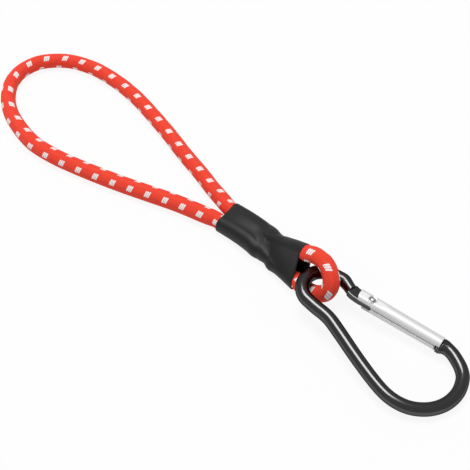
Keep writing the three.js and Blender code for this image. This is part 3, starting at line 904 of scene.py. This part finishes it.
def rod_line():
    """Middle line of the rod from the tip of its nose, round the big end and the bow, to past the hinge.

    The bow is a stretch of an ellipse, a little narrower on the gate's side than on the other.
    """
    nose = on_gate(np.array([NOSE_TIP, NOSE_SHOULDER, NOSE_NECK]))
    half_width = np.where(np.sin(BOW_ANGLES) < 0, BOW_FRONT, BOW_BACK)
    bow = on_hook(BOW_REACH * np.cos(BOW_ANGLES), half_width * np.sin(BOW_ANGLES))
    hinge_points = on_gate(np.array([HINGE_LEAD, TONGUE_END]))
    points = np.vstack([nose, on_hook(*BIG_END.T), bow, on_hook(*JOGGLE.T), hinge_points])
    return spline(points, ROD_STEP)


def rod_profile(along, total, past_bow):
    """Half width, its offset, half thickness and squareness of the rod at each distance from the nose.

    The numbers step where the rod is pressed or milled and stay those of a circle everywhere else. The
    circle is a little smaller round the big end, where the rod was drawn out.
    """
    left = total - along
    radius = ROD_RADIUS + (ROD_FAR_RADIUS - ROD_RADIUS) * smoothstep(0, ROD_DRAWN, past_bow)
    radius = radius - JOGGLE_THINNING * (1 - smoothstep(*JOGGLE_SPAN, left))
    tongue_length = np.linalg.norm(on_gate(TONGUE_END) - on_hook(TONGUE_STEP, JOGGLE[-1, 1]))
    shoulder = NOSE_SHOULDER - NOSE_TIP
    lip_start = NOSE_LIP - NOSE_TIP
    at_nose = 1 - smoothstep(shoulder - PRESSED_STEP, shoulder + PRESSED_STEP, along)
    at_tongue = 1 - smoothstep(tongue_length - MILLED_STEP, tongue_length + MILLED_STEP, left)
    at_lip = smoothstep(lip_start - PRESSED_STEP, lip_start + PRESSED_STEP, along)
    lip = NOSE_INNER + at_lip * (NOSE_LIP_INNER - NOSE_INNER)
    flare = 1 - smoothstep(shoulder, shoulder + NOSE_FLARE_LENGTH, along)
    outer = radius + NOSE_FLARE[0] * flare
    inner = -radius - NOSE_FLARE[1] * flare
    outer = outer + at_nose * (NOSE_OUTER - outer)
    inner = inner + at_nose * (lip - inner)
    tongue_width = HINGE_WIDTH + (TONGUE_WIDTH - HINGE_WIDTH) * smoothstep(*HINGE_SPAN, left)
    width = (outer - inner) / 2 + at_tongue * (tongue_width - radius)
    thick = radius + at_nose * (NOSE_HALF - radius) + at_tongue * (TONGUE_HALF - radius)
    square = CIRCLE_POWER + (PLATE_POWER - CIRCLE_POWER) * np.maximum(at_nose, at_tongue)
    tip = np.clip(along / TIP_ROUNDING, 0, 1)
    end = np.clip(left / HINGE_WIDTH, TONGUE_END_SLIVER, 1)
    end_round = np.sqrt(1 - (1 - end) ** 2)
    tip_round = np.sqrt(1 - (1 - tip) ** 2)
    width = width * (TIP_WIDTH + (1 - TIP_WIDTH) * tip_round) * end_round
    thick = thick * (TIP_THICKNESS + (1 - TIP_THICKNESS) * tip_round)
    return width, (outer + inner) / 2, thick, square


def rod_finish():
    """Black anodised and lacquered aluminium: deep and glossy, with a faint ripple and duller patches."""
    finish = Finish("anodised_rod", ROD_SETTINGS)
    where = finish.place()
    clouds = finish.noise(where, ROD_CLOUDS)
    ripple = finish.noise(where, ROD_RIPPLE)
    finish.feed("Base Color", finish.blend(clouds, ROD_DARK, ROD_PALE))
    finish.rough(clouds, ROD_ROUGHNESS)
    finish.ridge(ripple, ROD_RIPPLE_DEPTH, SOFT_RIDGE)
    return finish.material


rod_middle, rod_along = rod_line()
rod_count = len(rod_along)
rod_rows = np.unique(np.concatenate([
    np.linspace(0, rod_count - 1, ROD_ROWS).astype(int),
    np.arange(NOSE_ROWS),
    np.arange(rod_count - TONGUE_ROWS * TONGUE_STRIDE, rod_count, TONGUE_STRIDE),
]))
rod_middle, rod_along = rod_middle[rod_rows], rod_along[rod_rows]
rod_side, rod_up = axes_along(rod_middle, hook_normal)
rod_past_bow = (rod_middle - bow_centre) @ hook_along
rod_width, rod_offset, rod_thick, rod_square = (
    values[:, None] for values in rod_profile(rod_along, rod_along[-1], rod_past_bow)
)
rod_angle = np.linspace(0, 2 * np.pi, ROD_POINTS, endpoint=False)[None]
rod_cos = np.cos(rod_angle)
rod_sin = np.sin(rod_angle)
rod_out = np.sign(rod_cos) * np.abs(rod_cos) ** (2 / rod_square) * rod_width + rod_offset
rod_rise = np.sign(rod_sin) * np.abs(rod_sin) ** (2 / rod_square) * rod_thick
rod_grid = (
    rod_middle[:, None] + rod_out[..., None] * rod_side[:, None] + rod_rise[..., None] * rod_up[:, None]
)
rod = grid_piece("carabiner_rod", rod_grid, rod_finish())
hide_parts("carabiner_body")
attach(rod, "carabiner")
print(f"rod: {rod_along[-1] / MM:.1f} mm of wire")

# %% [markdown]
# ## The gate
# The gate is sheet aluminium rolled to a tube. Its two edges meet in a seam on the inside of the hook,
# turned a little upwards. They part again at the hinge to make a fork, and are notched at the far end
# for the nose. So it is modelled as the sheet: one parameter along it, the other round it from edge to
# edge. Notches are faces that are left out, and Solidify then gives the sheet its thickness.

# %% Gate
GATE_RADIUS = 2.5 * MM
GATE_NOSE_RADIUS = 2.32 * MM
GATE_SHEET = 0.7 * MM
GATE_LENGTH = 22.65 * MM
GATE_HEEL = 4.2 * MM
LOWER_HEEL = 2.62 * MM
FORK_END = 0.5 * MM
SLOT_START = 21.4 * MM
FORK_ANGLE = np.radians(147)
SLOT_ANGLE = np.radians(28.7)
UPPER_LIP = np.radians(155.6)
LOWER_LIP = np.radians(196)
CHEEK = 2.28 * MM
CHEEK_END = (2.5 * MM, 5.5 * MM)
LIP_CORNER = 0.6 * MM
SLOT_STEPS = 5
SIDE_STEPS = 18
UPPER_LIP_STEPS = 3
LOWER_LIP_STEPS = 9
HEEL_ROWS = 12
FORK_ROWS = 3
TUBE_ROWS = 40
SLOT_ROWS = 5
SHEET_EDGE = 0.1 * MM
SHEET_EDGE_STEPS = 2
SHEET_EDGE_ANGLE = np.radians(50)
GATE_DARK = (0.75, 0.75, 0.76, 1)
GATE_PALE = (0.81, 0.81, 0.82, 1)
GATE_METALLIC = 0.4
GATE_ROUGHNESS = (0.46, 0.58)
GATE_CLOUDS = 300
STREAK_STRETCH = (160, 0.25, 1)
STREAK_DEPTH = 0.003 * MM


def gate_point(along, angle):
    """A point of the rolled sheet: a circle round the gate's axis, pressed flatter at the hinge.

    The heel is rounded about the hinge on the inside of the hook, shorter on the lower cheek, and the
    sheet's edges start at the fork with a rounded corner.
    """
    radius = GATE_RADIUS + (GATE_NOSE_RADIUS - GATE_RADIUS) * smoothstep(0, GATE_LENGTH, along)
    out = radius * np.cos(angle)
    rise = radius * np.sin(angle)
    heel = np.sqrt(np.where(rise < 0, LOWER_HEEL, GATE_HEEL) ** 2 - np.minimum(out, 0) ** 2)
    along = np.where(along < 0, along * heel / GATE_HEEL, along)
    lip = np.where(angle > 0, UPPER_LIP, LOWER_LIP)
    past = np.clip((np.abs(angle) - FORK_ANGLE) / (lip - FORK_ANGLE), 0, 1)
    corner = LIP_CORNER * (1 - np.sqrt(1 - past**2))
    span = np.clip((along - FORK_END) / (SLOT_START - FORK_END), 0, 1)
    along = along + np.where(past > 0, corner * (1 - span), 0)
    flat = 1 - smoothstep(*CHEEK_END, along)
    limit = radius - flat * (radius - CHEEK)
    rise = np.sign(rise) * np.minimum(np.abs(rise), limit)
    return (hinge + along[..., None] * gate_along + out[..., None] * gate_across
            + rise[..., None] * hook_normal)


def gate_finish():
    """Satin aluminium, drawn lengthwise: fine streaks along the tube in gloss and relief."""
    finish = Finish("gate_tube", {"Metallic": GATE_METALLIC})
    streaks = finish.noise(finish.stretched(finish.lay(), STREAK_STRETCH), 1)
    clouds = finish.noise(finish.place(), GATE_CLOUDS)
    finish.feed("Base Color", finish.blend(clouds, GATE_DARK, GATE_PALE))
    finish.rough(streaks, GATE_ROUGHNESS)
    finish.ridge(streaks, STREAK_DEPTH, SOFT_RIDGE)
    return finish.material


def sheet_angles(lip, steps):
    """Angles from the outside of the tube round to one lip, with a line on each edge of slot and fork."""
    return np.concatenate([
        np.linspace(0, SLOT_ANGLE, SLOT_STEPS)[1:],
        np.linspace(SLOT_ANGLE, FORK_ANGLE, SIDE_STEPS)[1:],
        np.linspace(np.pi - SLOT_ANGLE, lip, steps),
    ])


GATE_FINISH = gate_finish()
gate_angle = np.concatenate([
    -sheet_angles(LOWER_LIP, LOWER_LIP_STEPS)[::-1], [0], sheet_angles(UPPER_LIP, UPPER_LIP_STEPS),
])
gate_rows = np.concatenate([
    np.linspace(-GATE_HEEL, 0, HEEL_ROWS),
    np.linspace(0, FORK_END, FORK_ROWS)[1:],
    np.linspace(FORK_END, SLOT_START, TUBE_ROWS)[1:],
    np.linspace(SLOT_START, GATE_LENGTH, SLOT_ROWS)[1:],
])
middle_row = ((gate_rows[1:] + gate_rows[:-1]) / 2)[:, None]
middle_angle = np.abs((gate_angle[1:] + gate_angle[:-1]) / 2)[None]
in_fork = (middle_row < FORK_END) & (middle_angle > FORK_ANGLE)
in_slot = (middle_row > SLOT_START) & ((middle_angle < SLOT_ANGLE) | (middle_angle > np.pi - SLOT_ANGLE))
gate_grid = gate_point(*np.meshgrid(gate_rows, gate_angle, indexing="ij"))
gate_rows_mm, gate_turns = np.meshgrid(gate_rows / MM, gate_angle / (2 * np.pi), indexing="ij")
gate = grid_piece(
    "gate_tube", gate_grid, GATE_FINISH, ring=False, caps=False, uv=(gate_turns, gate_rows_mm),
    drop=in_fork | in_slot,
)
sheet = gate.modifiers.new("sheet", "SOLIDIFY")
sheet.thickness = GATE_SHEET
sheet.offset = -1
sheet.use_even_offset = True
edges = gate.modifiers.new("edges", "BEVEL")
edges.width = SHEET_EDGE
edges.segments = SHEET_EDGE_STEPS
edges.limit_method = "ANGLE"
edges.angle_limit = SHEET_EDGE_ANGLE
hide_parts("gate")
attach(gate, "gate")

# %% [markdown]
# ## Rivet, plunger and spring
# A rivet holds the gate on the tongue. Inside the tube a sprung plunger rides on the end of the tongue
# and pushes the gate shut. The turned pieces are profiles spun round an axis, and the spring is a
# profile carried along a helix. The real spring sits between the plunger and the gate and closes up as
# the gate opens; here it is one fixed coil.

# %% Turned pieces
TURNED_POINTS = 40
METAL_MARKS = 1500
METAL_SHADE = 0.75
METAL_SPREAD = 0.2
METAL_MARK_DEPTH = 0.003 * MM
# Painted shade: the dark ring in the rivet's groove
GROOVE_PAINTED_SHADE = (0.22, 0.22, 0.22, 1)


def turned(name, profile, axis_point, axis, finish):
    """A profile of places along an axis and radii, in millimetres, spun once round the axis."""
    place, radius = (np.array(profile) * MM).T
    side = unit(np.cross(axis, hook_across))
    angle = np.linspace(0, 2 * np.pi, TURNED_POINTS, endpoint=False)
    ring = np.cos(angle)[:, None] * side + np.sin(angle)[:, None] * np.cross(axis, side)
    grid = axis_point + place[:, None, None] * axis + radius[:, None, None] * ring[None]
    return grid_piece(name, grid, finish)


def metal_finish(name, light, rough, groove=None):
    """Plain bright metal with fine marks and small dull patches, and painted shade in a groove round the
    hinge.

    groove holds two distances from the hinge: painted shade below the first, and plain metal above the
    second.
    """
    finish = Finish(name, {"Metallic": 1.0})
    where = finish.place()
    marks = finish.noise(where, METAL_MARKS)
    dark = tuple(METAL_SHADE * value for value in light[:3]) + (1,)
    colour = finish.blend(marks, dark, light)
    if groove:
        points = {0: where, 1: hinge}
        distance = finish.node("ShaderNodeVectorMath", {"operation": "DISTANCE"}, points, "Value")
        # Painted shade: metal close to the hinge goes dark, standing in for the rivet's groove in shadow
        colour = finish.blend(finish.between(distance, *groove), GROOVE_PAINTED_SHADE, colour)
    finish.feed("Base Color", colour)
    finish.rough(marks, (rough, rough + METAL_SPREAD))
    finish.ridge(marks, METAL_MARK_DEPTH, SOFT_RIDGE)
    return finish.material


RIVET_PROFILE = [
    (2.60, 0.02), (2.59, 0.4), (2.55, 0.54), (2.48, 0.6), (2.34, 0.68), (2.34, 0.92), (2.42, 1.02),
    (2.46, 1.14), (2.44, 1.26), (2.30, 1.32), (1.75, 1.32), (1.70, 0.95),
]
rivet_profile = RIVET_PROFILE + [(-place, radius) for place, radius in RIVET_PROFILE[::-1]]
# Distances from the hinge for the rivet's painted groove shade
RIVET_GROOVE = (2.49 * MM, 2.57 * MM)
RIVET_METAL = (0.80, 0.80, 0.81, 1)
RIVET_ROUGHNESS = 0.25
rivet_finish = metal_finish("rivet", RIVET_METAL, RIVET_ROUGHNESS, RIVET_GROOVE)
rivet = turned("hinge_pin", rivet_profile, hinge, hook_normal, rivet_finish)
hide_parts("hinge_rivet")
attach(rivet, "gate")

PLUNGER_PROFILE = [
    (2.1, 0.02), (2.12, 0.25), (2.2, 0.35), (2.85, 0.35), (2.95, 0.5), (3.05, 1.5), (3.15, 1.6),
    (5.35, 1.6), (5.45, 1.5), (5.45, 0.65), (6.85, 0.65), (6.95, 0.55), (6.95, 0.02),
]
PLUNGER_METAL = (0.5, 0.5, 0.51, 1)
PLUNGER_ROUGHNESS = 0.3
plunger_finish = metal_finish("steel_pin", PLUNGER_METAL, PLUNGER_ROUGHNESS)
plunger = turned("gate_plunger", PLUNGER_PROFILE, hinge, gate_along, plunger_finish)
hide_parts("plunger")
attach(plunger, "plunger")

SEAT_PROFILE = [(15.0, 0.02), (15.0, 1.6), (15.1, 1.72), (16.4, 1.72), (16.5, 1.6), (16.5, 0.02)]
seat = turned("spring_seat", SEAT_PROFILE, hinge, gate_along, GATE_FINISH)
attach(seat, "gate")

# %% Gate spring
SPRING_TURNS = 8
SPRING_RADIUS = 1.25 * MM
SPRING_WIRE = 0.25 * MM
SPRING_ENDS = (5.82 * MM, 14.63 * MM)
SPRING_STEPS = 28
WIRE_POINTS = 10
WIRE_METAL = (0.45, 0.45, 0.46, 1)
WIRE_ROUGHNESS = 0.25
spring_share = np.linspace(0, 1, SPRING_TURNS * SPRING_STEPS)[:, None]
spring_turn = 2 * np.pi * SPRING_TURNS * spring_share
spring_line = (
    hinge + (SPRING_ENDS[0] + spring_share * (SPRING_ENDS[1] - SPRING_ENDS[0])) * gate_along
    + SPRING_RADIUS * (np.cos(spring_turn) * gate_across + np.sin(spring_turn) * hook_normal)
)
wire_side, wire_up = axes_along(spring_line, gate_along)
wire_angle = np.linspace(0, 2 * np.pi, WIRE_POINTS, endpoint=False)[None, :, None]
spring_grid = spring_line[:, None] + SPRING_WIRE * (
    np.cos(wire_angle) * wire_side[:, None] + np.sin(wire_angle) * wire_up[:, None]
)
wire_finish = metal_finish("spring_wire", WIRE_METAL, WIRE_ROUGHNESS)
spring = grid_piece("coil_spring", spring_grid, wire_finish)
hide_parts("gate_spring")
spring_start, spring_stop = (tuple(on_gate(end)) for end in SPRING_ENDS)
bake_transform(spring)

# %% [markdown]
# ## The crimp
# The crimp band is hidden under the sleeve. It is pressed to the same sections, just under the sleeve's
# wall, and keeps the ends of its solid. Its finish is plain pressed aluminium.

# %% Crimp band
CRIMP_GAP = 0.05 * MM
CRIMP_WALL = 0.5 * MM
CRIMP_ROWS_OUTSIDE = 40
CRIMP_ROWS_INSIDE = 12
CRIMP_METAL = (0.6, 0.6, 0.62, 1)
CRIMP_ROUGHNESS = 0.35
crimp_ends = [(corner[0] - SLEEVE_START) / SLEEVE_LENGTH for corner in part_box("crimp_band")]
crimp_grid = tube_wall(
    *crimp_ends, SLEEVE_WALL + CRIMP_GAP, CRIMP_WALL, CRIMP_ROWS_OUTSIDE, CRIMP_ROWS_INSIDE,
)
crimp_finish = metal_finish("crimp", CRIMP_METAL, CRIMP_ROUGHNESS)
crimp = grid_piece("pressed_band", crimp_grid, crimp_finish, tunnel=True)
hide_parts("crimp_band")
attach(crimp, "sleeve")

# %% [markdown]
# ## Table and light
# The tie lies on a white table under one broad soft light overhead, in a bright pale room. The table
# shines by itself a little where the camera or a reflection looks at it, so that it reads as white, and
# the rest of it is a plain diffuse surface that takes the shadow.

# %% Stage and lights
FLOOR_SIZE = 60.0
FLOOR_GAP = 0.1 * MM
TABLE_GLOW = 0.9
WORLD_LEVEL = 0.42
LIGHT_DIRECTION = Vector((-0.20, 0.03, 0.98)).normalized()
LIGHT_DISTANCE = 1.2
LIGHT_SIZE = (0.58, 0.60)
LIGHT_LEVEL = 0.72

floor_mesh = bpy.data.meshes.new("floor")
half = FLOOR_SIZE / 2
floor_height = min(cad_box[0].z, 0) - FLOOR_GAP
floor_corners = [(x * half, y * half, floor_height) for x, y in ((-1, -1), (1, -1), (1, 1), (-1, 1))]
floor_mesh.from_pydata(floor_corners, [], [(0, 1, 2, 3)])
floor = bpy.data.objects.new("floor", floor_mesh)
bpy.context.scene.collection.objects.link(floor)
floor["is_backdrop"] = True

TABLE_SETTINGS = {"Base Color": (0.85, 0.85, 0.85, 1), "Roughness": 0.9, "Specular IOR Level": 0.0}
table_top = Finish("white_table", TABLE_SETTINGS)
rays = table_top.node("ShaderNodeLightPath", {}, {}, "Is Camera Ray")
seen = rays + rays.output("Is Glossy Ray") + rays.output("Is Transmission Ray")
glow = table_top.node("ShaderNodeEmission", {}, {"Color": WHITE, "Strength": 1.0})
body = Field(table_top, table_top.shader.outputs[0])
mixed = table_top.node("ShaderNodeMixShader", {}, {0: seen * TABLE_GLOW, 1: body, 2: glow})
table_top.tree.links.new(mixed.socket, table_top.tree.nodes["Material Output"].inputs["Surface"])
floor_mesh.materials.append(table_top.material)

world = bpy.data.worlds.new("room")
bpy.context.scene.world = world
world.use_nodes = True
sky = world.node_tree.nodes["Background"]
sky.inputs["Color"].default_value = WHITE
sky.inputs["Strength"].default_value = WORLD_LEVEL

light_data = bpy.data.lights.new("overhead", "AREA")
light_data.shape = "RECTANGLE"
light_data.size, light_data.size_y = LIGHT_SIZE
light_data.energy = LIGHT_LEVEL * np.pi**2 * LIGHT_DISTANCE**2
light = bpy.data.objects.new("overhead", light_data)
light.location = LIGHT_DIRECTION * LIGHT_DISTANCE
light.rotation_euler = LIGHT_DIRECTION.to_track_quat("Z", "Y").to_euler()
bpy.context.scene.collection.objects.link(light)
bpy.context.scene.view_settings.view_transform = "Standard"
print(f"light: {light_data.energy:.1f} W overhead, room at {WORLD_LEVEL}")

# %% [markdown]
# ## Sizes
# Looks never change the size of the tie.

# %% Compare the boxes and finish
visual_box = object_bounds()
boxes = {"cad": cad_box, "visual": visual_box}
{name: [list(corner) for corner in box] for name, box in boxes.items()}
print(f"visual size {[round((high - low) / MM, 1) for low, high in zip(*visual_box)]} mm")
